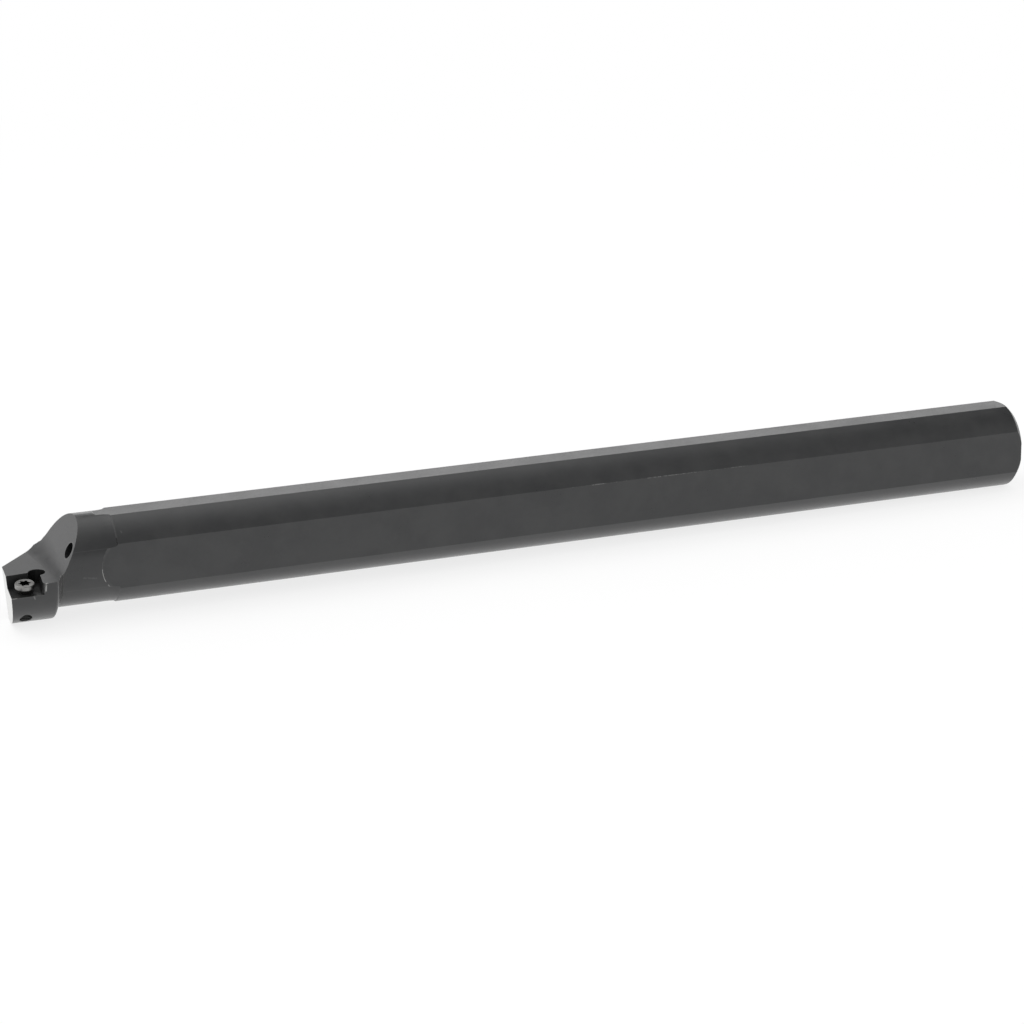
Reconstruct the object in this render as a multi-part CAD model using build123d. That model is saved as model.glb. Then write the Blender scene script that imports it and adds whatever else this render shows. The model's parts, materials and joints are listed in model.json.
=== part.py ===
from build123d import *
import math
import os

# Right-hand indexable boring bar: a coolant-fed steel bar and the screw that clamps its insert.
#
# Sizes are in millimetres. The origin is the centre of the rear face, on the shank's axis. The bar runs
# along -X to the head, +X points out of its rear end, -Y is the side that cuts and +Z is above the rake face.

# Overall sizes
overall_length = 304.8           # rear face to the tip of a seated insert
shank_diameter = 25.4
tip_offset = 16.26               # shank axis to the insert's tip, along -Y
tip_height = -0.17               # the tip stands this much above the shank axis
rear_chamfer = 1.3

# Milled flats: depth below the shank's surface, and how far behind the tip each one starts
top_flat_depth = 0.57
side_flat_depth = 1.6
top_flat_start = 27.1
side_flat_start = 26.2
flat_cutter_diameter = 16.0      # the end mill leaves its round at the front end of a flat

# Neck between the shank and the head
neck_depth = 0.4                 # below the shank's surface
neck_start = 31.0                # behind the tip
neck_flare_length = 2.8          # the neck curves outwards slightly just before the shank
neck_flare_rise = 0.15
undercut_depth = 0.25            # small groove at the foot of the head's shoulder
undercut_slope = 0.45            # length of its rear side, along the bar

# Head
head_radius = 14.85
head_offset = 0.48               # the head is turned about an axis this much nearer the tip
head_length = 13.5               # tip to the rear rim of the head
head_rear_round = 0.7
shoulder_run = 1.65              # the shoulder slopes in from the rim to the neck over this length
front_face_gap = 0.65            # insert's front edge to the front face
front_face_angle = 4.0           # the front face falls back from the tip by this angle
front_face_relief = 4.0          # and leans back below the rake face by this one
far_cut_start = 0.4              # where the slanted far side meets the front face, past the axis
far_cut_angle = 46.4             # slanted far side, measured from the bar axis
far_flat_turn = 11.0             # the flat behind it touches the neck this far above the axis, in degrees

# Insert that the seat takes: an 80 degree rhombus with bevelled sides
insert_circle = 9.525
insert_thickness = 3.97
insert_nose_angle = 80.0
insert_side_relief = 7.0
edge_setting = 5.0               # both cutting edges stand this far off the bar's axes
rake_tilt = 3.3                  # the seat is tilted about the bar axis, down towards the tip

# Seat, land and gullet
land_drop = 0.65                 # rake face of the insert to the land around the seat
corner_relief_diameter = 4.6
corner_relief_inset = 1.2        # relief centre to the corner of the seat
corner_relief_depth = 0.2        # below the seat
seat_edge_chamfer = 0.6          # upright edge between the seat's rear wall and the flank
ramp_foot = 15.55                # tip to the foot of the ramp, along the bar
ramp_angle = 60.0
ramp_yaw = 2.2                   # the ramp turns towards the tip on the far side, in degrees
gullet_radius_near = 2.4         # foot of the ramp at the tip's side
gullet_radius_growth = 0.2       # millimetres of radius for each millimetre towards the far side

# Coolant way
port_diameter = 13.16            # outer diameter of the rear pipe thread, which the bore is made to
port_depth = 14.0
port_chamfer = 0.8
coolant_bore_diameter = 7.0
coolant_bore_end = 42.0          # behind the tip
drill_point_angle = 118.0
outlet_diameter = 4.2
outlet_side = 7.85               # where the outlet's axis leaves the ramp, towards the tip's side
outlet_height = 5.05

# Insert screw: solids at the root of the thread, as the tapped hole is at its core
screw_root_diameter = 3.2
screw_clearance = 0.05           # radial, between the screw's root and the hole's core
screw_shank_length = 6.4
screw_head_diameter = 5.3
screw_thread_diameter = 4.0
screw_head_rim = 1.1
screw_cone_angle = 60.0
screw_top_chamfer = 0.15
screw_seat_gap = 0.05            # lowest point of the head to the seat when screwed home
screw_pull = 0.3                 # the hole sits this far towards the seat's corner
screw_lean = 4.5                 # and leans from square to the seat, which draws the insert to the back wall
screw_hole_chamfer = 0.25
recess_outer = 3.35              # six-lobe recess across its lobes
recess_inner = 2.4
recess_flute_radius = 0.7
recess_lobe_round = 0.25
recess_depth = 1.3

# Working values
shank_radius = shank_diameter / 2
neck_radius = shank_radius - neck_depth
undercut_radius = neck_radius - undercut_depth
hole_radius = screw_root_diameter / 2 + screw_clearance
reach = 3 * shank_diameter       # longer than any cut through the head
seat_depth = insert_thickness


def station(behind_tip):
    """X of a place measured back from the insert's tip."""
    return behind_tip - overall_length


undercut_foot = station(head_length + shoulder_run)


def polar(length, degrees):
    """Flat vector of a given length and direction."""
    return Vector(length * math.cos(math.radians(degrees)), length * math.sin(math.radians(degrees)))


# The rake plane holds the insert's top face: its origin is the tip, x runs to the rear and y to the far side
tip = Vector(-overall_length, -tip_offset, tip_height)
tilt = math.radians(rake_tilt)
rake_plane = Plane(origin=tip, x_dir=(1, 0, 0), z_dir=(0, -math.sin(tilt), math.cos(tilt)))

# The insert's outline on the rake plane
insert_side = insert_circle / math.sin(math.radians(insert_nose_angle))
side_edge = polar(insert_side, edge_setting)
front_edge = polar(insert_side, edge_setting + insert_nose_angle)
seat_corner = side_edge + front_edge
insert_centre = seat_corner * 0.5
to_corner = seat_corner.normalized()


def turned_bar():
    """Shank, neck and undercut, turned about the bar axis. The neck runs on inside the head."""
    step = station(neck_start)
    flare_start = (step - neck_flare_length, neck_radius)
    flare_radius = neck_radius + neck_flare_rise
    flare_end = (step - (shank_radius - flare_radius), flare_radius)
    profile = Polyline(
        flare_end,
        (step, shank_radius),
        (-rear_chamfer, shank_radius),
        (0, shank_radius - rear_chamfer),
        (0, 0),
        (station(head_length), 0),
        (station(head_length), undercut_radius),
        (undercut_foot, undercut_radius),
        (undercut_foot + undercut_slope, neck_radius),
        flare_start,
    )
    flare = TangentArc(flare_start, flare_end, tangent=(1, 0))
    return revolve(Plane.XZ * make_face(profile + flare), Axis.X)


def head_blank():
    """The head before milling: a short disc turned off-centre, with a sloping shoulder and a rounded rim."""
    rim = station(head_length)
    outline = Polyline(
        (station(0), 0),
        (station(0), head_radius),
        (rim, head_radius),
        (undercut_foot, undercut_radius - head_offset),
        (undercut_foot, 0),
        close=True,
    )
    disc = Pos(0, -head_offset, 0) * revolve(Plane.XZ * make_face(outline), Axis.X)
    rear_edge = disc.edges().filter_by(GeomType.CIRCLE).sort_by(Axis.X)[1]
    return fillet(rear_edge, head_rear_round)


def gullet_profile(across):
    """Land, rounded foot and ramp, as one closed outline in a plane across the rake plane."""
    radius = gullet_radius_near + gullet_radius_growth * across
    foot = Vector(ramp_foot - across * math.tan(math.radians(ramp_yaw)), -land_drop)
    tangent = radius * math.tan(math.radians(ramp_angle) / 2)
    land_end = foot - Vector(tangent, 0)
    ramp_start = foot + polar(tangent, ramp_angle)
    ramp_top = foot + polar(reach, ramp_angle)
    land_front = Vector(-reach, -land_drop)
    lines = Line(land_front, land_end) + TangentArc(land_end, ramp_start, tangent=(1, 0))
    lines += Polyline(ramp_start, ramp_top, (-reach, ramp_top.Y), land_front)
    section = Plane(origin=(0, across, 0), x_dir=(1, 0, 0), z_dir=(0, -1, 0))
    return rake_plane * section * make_face(lines)


def gullet():
    """Everything above the land and in front of the ramp; the rounded foot opens out to the far side."""
    near = gullet_profile(-shank_radius / 2)
    far = gullet_profile(tip_offset + 2 * shank_radius)
    return loft([near, far], ruled=True)


def front_trim():
    """What lies in front of the front face."""
    start = rake_plane * Pos(front_face_gap / math.cos(math.radians(front_face_angle)), 0, 0)
    face = start * Rot(0, -front_face_relief, -front_face_angle)
    return face * Box(reach, 2 * reach, 2 * reach, align=(Align.MAX, Align.CENTER, Align.CENTER))


def far_side_trim():
    """What the slanted cut takes from the head's far side, and what stands out past the neck there."""
    front_x = station(front_face_gap + tip_offset * math.tan(math.radians(front_face_angle)))
    corner = Pos(front_x, far_cut_start, 0) * Rot(0, 0, far_cut_angle)
    slanted = Box(2 * reach, reach, 2 * reach, align=(Align.CENTER, Align.MIN, Align.CENTER))
    behind_shoulder = Pos(undercut_foot, 0, 0) * Box(
        reach, 2 * reach, 2 * reach, align=(Align.MIN, Align.CENTER, Align.CENTER)
    )
    past_neck = Rot(far_flat_turn, 0, 0) * Pos(undercut_foot, neck_radius, 0) * Box(
        reach, reach, 2 * reach, align=(Align.MAX, Align.MIN, Align.CENTER)
    )
    return corner * slanted - behind_shoulder + past_neck


def insert_seat():
    """Pocket with two bevelled walls, open to the front and to the cutting side, and a drilled corner."""
    back_wall_start = seat_corner - polar(reach, edge_setting)
    rear_wall_start = seat_corner - polar(reach, edge_setting + insert_nose_angle)
    outer_corner = back_wall_start + rear_wall_start - seat_corner
    outline = Polyline(seat_corner, back_wall_start, outer_corner, rear_wall_start, close=True)
    mouth = rake_plane * make_face(outline)
    pocket = extrude(mouth, amount=seat_depth, dir=-rake_plane.z_dir, taper=insert_side_relief)
    relief_centre = seat_corner - to_corner * corner_relief_inset
    relief_bottom = -seat_depth - corner_relief_depth
    relief = rake_plane * Pos(relief_centre.X, relief_centre.Y, relief_bottom) * Cylinder(
        corner_relief_diameter / 2, reach, align=(Align.CENTER, Align.CENTER, Align.MIN)
    )
    return pocket + relief


def screw_frame():
    """Place of the insert screw: on the seat, under the insert's hole, z up the screw's leaning axis."""
    centre = insert_centre + to_corner * screw_pull
    return rake_plane * Pos(centre.X, centre.Y, -seat_depth) * Rot(screw_lean, 0, 0)


def screw_hole():
    """Tapped hole at its core diameter, through the seat and out of the flank."""
    core = Pos(0, 0, seat_depth) * Cylinder(hole_radius, reach, align=(Align.CENTER, Align.CENTER, Align.MAX))
    mouth = Cone(hole_radius, hole_radius + 2 * screw_hole_chamfer, 2 * screw_hole_chamfer)
    return screw_frame() * (core + mouth)


def flat_cut(depth, start, turn):
    """Material above a lengthwise flat; turn carries it about the bar axis from the top."""
    height = shank_radius - depth
    cutter_radius = flat_cutter_diameter / 2
    bottom = (Align.CENTER, Align.CENTER, Align.MIN)
    run_out = Pos(station(start) + cutter_radius, 0, height) * Cylinder(cutter_radius, reach, align=bottom)
    length = -station(start) - cutter_radius + reach
    sweep = Pos(station(start) + cutter_radius, 0, height) * Box(
        length, flat_cutter_diameter, reach, align=(Align.MIN, Align.CENTER, Align.MIN)
    )
    return Rot(turn, 0, 0) * (run_out + sweep)


def coolant_way():
    """Rear port, long bore on the axis with its drilled point, and the slanted outlet in the ramp."""
    bore_radius = coolant_bore_diameter / 2
    port_radius = port_diameter / 2
    point = bore_radius / math.tan(math.radians(drill_point_angle) / 2)
    shoulder = (port_radius - bore_radius) / math.tan(math.radians(drill_point_angle) / 2)
    bore_end = station(coolant_bore_end)
    outline = Polyline(
        (0, 0),
        (0, port_radius + port_chamfer),
        (-port_chamfer, port_radius),
        (-port_depth, port_radius),
        (-port_depth - shoulder, bore_radius),
        (bore_end, bore_radius),
        (bore_end - point, 0),
        close=True,
    )
    axial = revolve(Plane.XZ * make_face(outline), Axis.X)
    return axial + coolant_outlet()


def coolant_outlet():
    """Slanted hole from the ramp to the end of the long bore."""
    mouth = rake_plane.to_local_coords(Vector(0, -outlet_side, outlet_height))
    ramp_x = ramp_foot - mouth.Y * math.tan(math.radians(ramp_yaw))
    ramp_x += (mouth.Z + land_drop) / math.tan(math.radians(ramp_angle))
    start = Vector(station(ramp_x), -outlet_side, outlet_height)
    end = Vector(station(coolant_bore_end), 0, 0)
    inward = (end - start).normalized()
    frame = Plane(origin=start - inward * shank_radius, z_dir=inward)
    length = (end - start).length + shank_radius
    return frame * Cylinder(outlet_diameter / 2, length, align=(Align.CENTER, Align.CENTER, Align.MIN))


def break_seat_edge(body):
    """Small chamfer on the upright edge where the seat's rear wall meets the flank."""
    middle = rake_plane * Pos(side_edge.X, side_edge.Y, -(land_drop + seat_depth) / 2)
    short_edges = body.edges().filter_by(lambda edge: edge.length < 2 * seat_depth)
    upright = short_edges.sort_by_distance(middle.position)[0]
    return chamfer(upright, seat_edge_chamfer)


def bar_body():
    """The whole steel bar, in the order it is machined."""
    body = turned_bar() + head_blank()
    body -= gullet()
    body -= front_trim()
    body -= far_side_trim()
    body -= insert_seat()
    body = break_seat_edge(body)
    body -= screw_hole()
    body -= flat_cut(top_flat_depth, top_flat_start, 0)
    body -= flat_cut(top_flat_depth, top_flat_start, 180)
    body -= flat_cut(side_flat_depth, side_flat_start, 90)
    body -= coolant_way()
    return body


def lobed_recess():
    """Six-lobe drive recess, sunk from the top of the head."""
    flutes = PolarLocations(recess_inner / 2 + recess_flute_radius, 6, start_angle=30)
    outline = Circle(recess_outer / 2) - flutes * Circle(recess_flute_radius)
    outline = fillet(outline.vertices(), recess_lobe_round)
    return extrude(outline, -recess_depth)


def insert_screw():
    """Countersunk clamping screw, screwed home on the empty seat."""
    root_radius = screw_root_diameter / 2
    neck = screw_thread_diameter / 2
    head = screw_head_diameter / 2
    foot = screw_seat_gap + neck * math.tan(math.radians(screw_lean))
    cone_top = foot + (head - neck) / math.tan(math.radians(screw_cone_angle) / 2)
    top = cone_top + screw_head_rim
    outline = Polyline(
        (0, top),
        (head - screw_top_chamfer, top),
        (head, top - screw_top_chamfer),
        (head, cone_top),
        (neck, foot),
        (root_radius, foot),
        (root_radius, screw_root_diameter / 4 - screw_shank_length),
        (root_radius / 2, -screw_shank_length),
        (0, -screw_shank_length),
        close=True,
    )
    blank = revolve(Plane.XZ * make_face(outline), Axis.Z)
    return screw_frame() * (blank - Pos(0, 0, top) * lobed_recess())


os.makedirs("parts", exist_ok=True)
export_step(bar_body(), "parts/bar_body.step")
export_step(insert_screw(), "parts/insert_screw.step")
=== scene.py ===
# %% [markdown]
# # A coolant-fed boring bar
#
# A boring bar reaches into a hole on a lathe and widens it from the inside. This one is a steel
# bar an inch across and a foot long. Its head stands out to one side and carries a small seat
# for a carbide insert, with a screw that clamps the insert down. Coolant comes in at the rear end
# and leaves through a slanted hole above the seat.
#
# The solids come from a CAD model, at their real size, so nothing here moves or resizes them.
# What is left to do is what the eye reads first: how dark oxide, bare steel and a bright screw
# take the light, and the two threads, which follow a rule and are made by one.

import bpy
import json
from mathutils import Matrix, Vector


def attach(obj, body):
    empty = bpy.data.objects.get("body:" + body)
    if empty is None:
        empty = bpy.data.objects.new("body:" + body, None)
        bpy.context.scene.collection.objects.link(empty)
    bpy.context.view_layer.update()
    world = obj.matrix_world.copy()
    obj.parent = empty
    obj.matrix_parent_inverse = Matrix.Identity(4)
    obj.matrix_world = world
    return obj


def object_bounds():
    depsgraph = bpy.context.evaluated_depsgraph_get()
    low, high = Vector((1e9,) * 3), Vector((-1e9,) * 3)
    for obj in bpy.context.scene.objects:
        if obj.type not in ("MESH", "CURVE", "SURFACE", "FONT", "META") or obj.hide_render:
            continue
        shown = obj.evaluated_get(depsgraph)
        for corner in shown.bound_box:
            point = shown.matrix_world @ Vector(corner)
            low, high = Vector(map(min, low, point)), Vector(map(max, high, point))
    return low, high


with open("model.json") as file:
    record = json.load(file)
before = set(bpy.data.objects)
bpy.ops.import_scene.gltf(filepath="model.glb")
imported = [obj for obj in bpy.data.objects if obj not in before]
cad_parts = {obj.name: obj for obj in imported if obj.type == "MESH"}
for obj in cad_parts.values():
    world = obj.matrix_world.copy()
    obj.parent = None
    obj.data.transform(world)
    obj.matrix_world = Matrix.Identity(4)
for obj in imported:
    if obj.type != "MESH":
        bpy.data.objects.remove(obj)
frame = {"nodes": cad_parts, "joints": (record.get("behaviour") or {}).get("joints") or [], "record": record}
cad_low, cad_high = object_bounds()
print("CAD box, metres:", tuple(cad_low), tuple(cad_high))

# %% Modules and units
import json
import math

import bpy
import bmesh
from mathutils import Quaternion, Vector

MM = 0.001
scene = bpy.context.scene
bar_body = frame["nodes"]["bar_body"]
insert_screw = frame["nodes"]["insert_screw"]
print("pieces from the frame:", sorted(frame["nodes"]))

# %% [markdown]
# ## Camera
#
# The bar is a foot long and only an inch thick, so a long lens from nearly a metre away keeps
# it from looking like a cone. The camera stands on the cutting side, past the head, and looks
# down a little, which shows the seat, the ramp behind it and both clamping flats at once.
# It could be aimed with a constraint. A direction and a small roll are enough and stay put.

# %% Camera
camera_place = Vector((-0.440997, -0.751050, 0.243686))
camera_aim = Vector((-0.157786, 0.0, -0.002409))
camera_roll = math.radians(-0.917)
sensor_width = 36.0
focal_length = 104.398

camera_data = bpy.data.cameras.new("camera")
camera_data.sensor_width = sensor_width
camera_data.lens = focal_length
camera_data.clip_start = 0.01
camera_data.clip_end = 50.0
camera = bpy.data.objects.new("camera", camera_data)
scene.collection.objects.link(camera)
look = (camera_aim - camera_place).to_track_quat("-Z", "Y")
camera.rotation_mode = "QUATERNION"
camera.rotation_quaternion = look @ Quaternion((0, 0, 1), camera_roll)
camera.location = camera_place
scene.camera = camera
print("camera to bar: %.3f m" % (camera_aim - camera_place).length)

# %% [markdown]
# ## Node helpers
#
# Every material and every thread below is a small tree of nodes. A few helpers keep them short:
# one adds a node and fills its sockets, the next ones do sums and steps, and the last starts a
# reusable group with named sockets.

# %% Node helpers
def place(tree, kind, inputs=None, **settings):
    """Adds a node. A socket takes a plain value or another node's output."""
    made = tree.nodes.new(kind)
    for name, value in settings.items():
        setattr(made, name, value)
    for name, value in (inputs or {}).items():
        if isinstance(value, bpy.types.NodeSocket):
            tree.links.new(value, made.inputs[name])
        else:
            made.inputs[name].default_value = value
    return made


def calc(tree, operation, *values, clamp=False):
    """One Math node on numbers or sockets."""
    inputs = dict(enumerate(values))
    return place(tree, "ShaderNodeMath", inputs, operation=operation, use_clamp=clamp).outputs[0]


def vector_calc(tree, operation, first, second, result="Value"):
    """One Vector Math node on two vectors, or on a vector and a number for SCALE."""
    inputs = {0: first, "Scale" if operation == "SCALE" else 1: second}
    return place(tree, "ShaderNodeVectorMath", inputs, operation=operation).outputs[result]


print("helpers ready: place, calc, vector_calc")

# %% Steps and mixes
def rise(tree, value, start, end):
    """Goes softly from 0 to 1 while a value goes from start to end."""
    inputs = {"Value": value, "From Min": start, "From Max": end}
    return place(tree, "ShaderNodeMapRange", inputs, interpolation_type="SMOOTHSTEP").outputs[0]


def product(tree, first, *others):
    """Multiplies any number of values."""
    for other in others:
        first = calc(tree, "MULTIPLY", first, other)
    return first


def blend(tree, factor, first, second):
    """Mixes two numbers, each a plain value or a socket."""
    return place(tree, "ShaderNodeMix", {0: factor, 2: first, 3: second}, data_type="FLOAT").outputs[0]


def between(tree, value, low, high):
    """1 while a value lies between two others, and 0 outside."""
    over = calc(tree, "GREATER_THAN", value, low)
    return calc(tree, "MULTIPLY", over, calc(tree, "LESS_THAN", value, high))


print("helpers ready: rise, product, blend, between")

# %% Start a group
def new_group(name, kind, inputs, outputs):
    """An empty group with named sockets. Returns the group, its input sockets and its output node."""
    tree = bpy.data.node_groups.new(name, kind)
    for label, (socket_type, value) in inputs.items():
        socket = tree.interface.new_socket(label, in_out="INPUT", socket_type=socket_type)
        if value is not None:
            socket.default_value = value
    for label, socket_type in outputs.items():
        tree.interface.new_socket(label, in_out="OUTPUT", socket_type=socket_type)
    start = tree.nodes.new("NodeGroupInput")
    end = tree.nodes.new("NodeGroupOutput")
    return tree, start.outputs, end


print("helper ready: new_group")

# %% [markdown]
# ## Studio
#
# A dark, smooth bar shows its surroundings more than its own colour, so the room matters as much
# as the material. An even white room makes a bar look like a cardboard cut-out: every side is the
# same grey. Here the room is white all round, brighter low down behind the bar, where a lit
# backdrop stands, and a little brighter high up behind it. It is dimmer above the camera, as
# where the ceiling of a small studio isn't lit, dimmer past the rear end, and nearly dark in the
# gap between backdrop and ceiling panel. That gives the round sides their slow change from dark
# to light, and the hollow behind the seat its dark band.
#
# The room could be lit with panels set around the bar. A world whose strength depends on direction
# does the same with no panels to place. Only reflections see that room. The camera sees plain
# white, and soft light comes evenly from all sides.

# %% Brightness of the room
room_light = 0.95
overhead_panel = 0.2
backdrop = 0.5
gap_dim = 0.9
ceiling_dim = 0.55
tail_dim_front = 0.35
tail_dim_behind = 0.5
darkest = 0.05

# A direction has a share towards the rear end, a share away from the camera's side and a share
# upwards. Each pair is where a change starts and ends.
past_tail_along = (0.28, 0.52)
tail_side = (-0.65, 0.1)
behind_side = (-0.2, 0.6)
ceiling_side = (0.25, -0.65)
above_height = (0.2, 0.5)
gap_foot = (0.4, 0.5)
gap_top = (0.7, 0.6)
gap_side = (0.4, 0.8)
panel_height = (0.55, 0.8)
glow_along = (-0.5, 0.3)
glow_side = (0.3, 0.8)
glow_height = (0.38, 0.28)
print("soft light from all sides: %.2f" % room_light)

# %% World
world = bpy.data.worlds.new("studio")
world.use_nodes = True
world.node_tree.nodes.clear()
scene.world = world


def reflected_room(tree):
    """How bright the room is in each direction, as a reflection sees it."""
    toward = place(tree, "ShaderNodeTexCoord").outputs["Generated"]
    way = place(tree, "ShaderNodeSeparateXYZ", {0: toward}).outputs
    past_tail = rise(tree, way["X"], *past_tail_along)
    before_tail = calc(tree, "SUBTRACT", 1.0, past_tail)

    ceiling = product(tree, rise(tree, way["Y"], *ceiling_side), before_tail, ceiling_dim)
    dark_end = rise(tree, way["Y"], *tail_side)
    dark_end = calc(tree, "MULTIPLY_ADD", dark_end, tail_dim_behind, tail_dim_front)
    above = calc(tree, "ADD", ceiling, product(tree, dark_end, past_tail))
    above = product(tree, above, rise(tree, way["Z"], *above_height))
    gap = product(tree, rise(tree, way["Z"], *gap_foot), rise(tree, way["Z"], *gap_top), gap_dim)
    gap = product(tree, gap, rise(tree, way["Y"], *gap_side))

    panel = product(tree, rise(tree, way["Y"], *behind_side), before_tail, overhead_panel)
    panel = product(tree, panel, rise(tree, way["Z"], *panel_height))
    glow = product(tree, rise(tree, way["Y"], *glow_side), rise(tree, way["Z"], *glow_height), backdrop)
    glow = product(tree, glow, rise(tree, way["X"], *glow_along))
    bright = calc(tree, "ADD", calc(tree, "ADD", panel, glow), 1.0)
    dimmed = calc(tree, "SUBTRACT", bright, calc(tree, "ADD", above, gap))
    return calc(tree, "MAXIMUM", dimmed, darkest)


def make_room(tree):
    """Background that is white to the camera and a graded studio to reflections."""
    rays = place(tree, "ShaderNodeLightPath").outputs
    seen = calc(tree, "MAXIMUM", rays["Is Camera Ray"], rays["Is Transmission Ray"])
    strength = blend(tree, rays["Is Glossy Ray"], room_light, reflected_room(tree))
    strength = blend(tree, seen, strength, 1.0)
    room = place(tree, "ShaderNodeBackground", {"Color": (1, 1, 1, 1), "Strength": strength})
    place(tree, "ShaderNodeOutputWorld", {"Surface": room.outputs[0]})


make_room(world.node_tree)
print("room: %d nodes" % len(world.node_tree.nodes))

# %% Key lamp
key_size = 0.9
key_place = Vector((-0.7, 0.45, 1.05))
key_aim = Vector((-0.2, 0.0, 0.0))
key_power = 3.0

key_data = bpy.data.lights.new("key", "AREA")
key_data.shape = "DISK"
key_data.size = key_size
key_data.energy = key_power
key = bpy.data.objects.new("key", key_data)
key.location = key_place
key.rotation_euler = (key_aim - key_place).to_track_quat("-Z", "Y").to_euler()
scene.collection.objects.link(key)
print("lamp to bar: %.2f m" % (key_place - key_aim).length)

# %% [markdown]
# ## Floor
#
# The bar lies on the underside of its head and on the rear end of its bottom flat. The head is
# the thicker of the two, so on a level bench the bar leans by about half a degree. The bar keeps
# its own frame here, and the floor takes the lean instead.
#
# The floor is a lit white sheet: reflections see it plain white, which is what brightens the
# bar's underside. The camera sees mostly white too, with a share of the real shadow left in near
# the bar.

# %% Floor
floor_reach = 3.0
floor_white = 0.97
floor_roughness = 0.9
head_search = 20 * MM
tail_search = 3 * MM
shadow_share = 0.22
shadow_reach = 0.25
shadow_end = 0.8


def lowest_point(node, from_x, to_x):
    """The lowest corner of a node between two places along the bar."""
    spots = [v.co for v in node.data.vertices if from_x <= v.co.x <= to_x]
    return min(spots, key=lambda spot: spot.z)


head_foot = lowest_point(bar_body, cad_low.x, cad_low.x + head_search)
tail_foot = lowest_point(bar_body, -tail_search, 0.0)
lean = (tail_foot.z - head_foot.z) / (tail_foot.x - head_foot.x)
corners = [(-1, -1), (1, -1), (1, 1), (-1, 1)]
floor_points = [
    (x * floor_reach, y * floor_reach, head_foot.z + lean * (x * floor_reach - head_foot.x))
    for x, y in corners
]
floor_mesh = bpy.data.meshes.new("floor")
floor_mesh.from_pydata(floor_points, [], [(0, 1, 2, 3)])
floor = bpy.data.objects.new("floor", floor_mesh)
scene.collection.objects.link(floor)
print("the bar leans %.2f degrees" % math.degrees(math.atan(lean)))

# %% Floor paint
floor_paint = bpy.data.materials.new("floor_paint")
floor_paint.use_nodes = True
floor_mesh.materials.append(floor_paint)


def paint_floor(tree):
    """White sheet that reflections see as plain white, with a soft shadow near the bar."""
    shader = tree.nodes["Principled BSDF"]
    shader.inputs["Base Color"].default_value = (floor_white,) * 3 + (1,)
    shader.inputs["Roughness"].default_value = floor_roughness
    shader.inputs["Specular IOR Level"].default_value = 0.0
    here = place(tree, "ShaderNodeTexCoord").outputs["Object"]
    from_bar = vector_calc(tree, "DISTANCE", here, (cad_low + cad_high) / 2)
    far = rise(tree, from_bar, shadow_reach, shadow_end)
    rays = place(tree, "ShaderNodeLightPath").outputs
    white = calc(tree, "MULTIPLY_ADD", far, shadow_share, 1.0 - shadow_share)
    white = calc(tree, "MULTIPLY", white, rays["Is Camera Ray"])
    white = calc(tree, "MAXIMUM", white, rays["Is Glossy Ray"])
    white = calc(tree, "MAXIMUM", white, rays["Is Transmission Ray"])
    glow = place(tree, "ShaderNodeEmission", {"Color": (1, 1, 1, 1), "Strength": 1.0})
    both = place(tree, "ShaderNodeMixShader", {0: white, 1: shader.outputs[0], 2: glow.outputs[0]})
    tree.links.new(both.outputs[0], tree.nodes["Material Output"].inputs["Surface"])


paint_floor(floor_paint.node_tree)
print("floor paint: %d nodes" % len(floor_paint.node_tree.nodes))

# %% [markdown]
# ## Where the screw stands
#
# The screw's axis is tilted with the seat. Its slide joint already holds that direction, and the
# flat end of its shank gives a point on it, so both are read from the frame.

# %% Screw axis
screw_axis = Vector(frame["joints"][0]["axis"]).normalized()
screw_turn = Vector((0, 0, 1)).rotation_difference(screw_axis)


def end_centre(node, axis):
    """Centre of the flat face that lies furthest along an axis."""
    reach = max(v.co.dot(axis) for v in node.data.vertices)
    rim = [v.co for v in node.data.vertices if reach - v.co.dot(axis) < 0.001 * MM]
    low = Vector([min(spot[i] for spot in rim) for i in range(3)])
    high = Vector([max(spot[i] for spot in rim) for i in range(3)])
    return (low + high) / 2


screw_foot = end_centre(insert_screw, -screw_axis)
screw_top = end_centre(insert_screw, screw_axis)
print("screw length: %.2f mm" % ((screw_top - screw_foot).length / MM))

# %% [markdown]
# ## Shared effects
#
# A few things happen on more than one of these steels. Sharp outer corners are rubbed back to
# bare metal. Cutters leave fine parallel marks. A chemical finish is never even: it clouds a
# little. Each is a group with named inputs, placed in a material with its own values.
#
# Wear could be painted by hand. A ray test finds the corners instead: rays sent a short way into
# the metal only hit something near an outer corner, so inner corners stay clean.

# %% Edge wear group
def make_edge_wear():
    """Corner is 1 along outer corners. Mask is the same, broken up so that the wear comes and goes."""
    sockets = {
        "Vector": ("NodeSocketVector", None),
        "Width": ("NodeSocketFloat", 0.0003),
        "Patch Size": ("NodeSocketFloat", 0.002),
        "Cover": ("NodeSocketFloat", 0.5),
    }
    outputs = {"Corner": "NodeSocketFloat", "Mask": "NodeSocketFloat"}
    tree, given, end = new_group("edge_wear", "ShaderNodeTree", sockets, outputs)
    ray_test = {"inside": True, "only_local": True, "samples": 8}
    inside = place(tree, "ShaderNodeAmbientOcclusion", {"Distance": given["Width"]}, **ray_test)
    corner = calc(tree, "SUBTRACT", 1.0, inside.outputs["AO"])
    corner = calc(tree, "MULTIPLY", corner, 2.0, clamp=True)
    scale = calc(tree, "DIVIDE", 1.0, given["Patch Size"])
    patches = place(tree, "ShaderNodeTexNoise", {"Vector": given["Vector"], "Scale": scale, "Detail": 3.0})
    low = calc(tree, "SUBTRACT", 0.75, given["Cover"])
    kept = rise(tree, patches.outputs[0], low, calc(tree, "ADD", low, 0.2))
    tree.links.new(corner, end.inputs["Corner"])
    tree.links.new(calc(tree, "MULTIPLY", corner, kept), end.inputs["Mask"])
    return tree


edge_wear = make_edge_wear()
print("group:", edge_wear.name)

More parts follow.
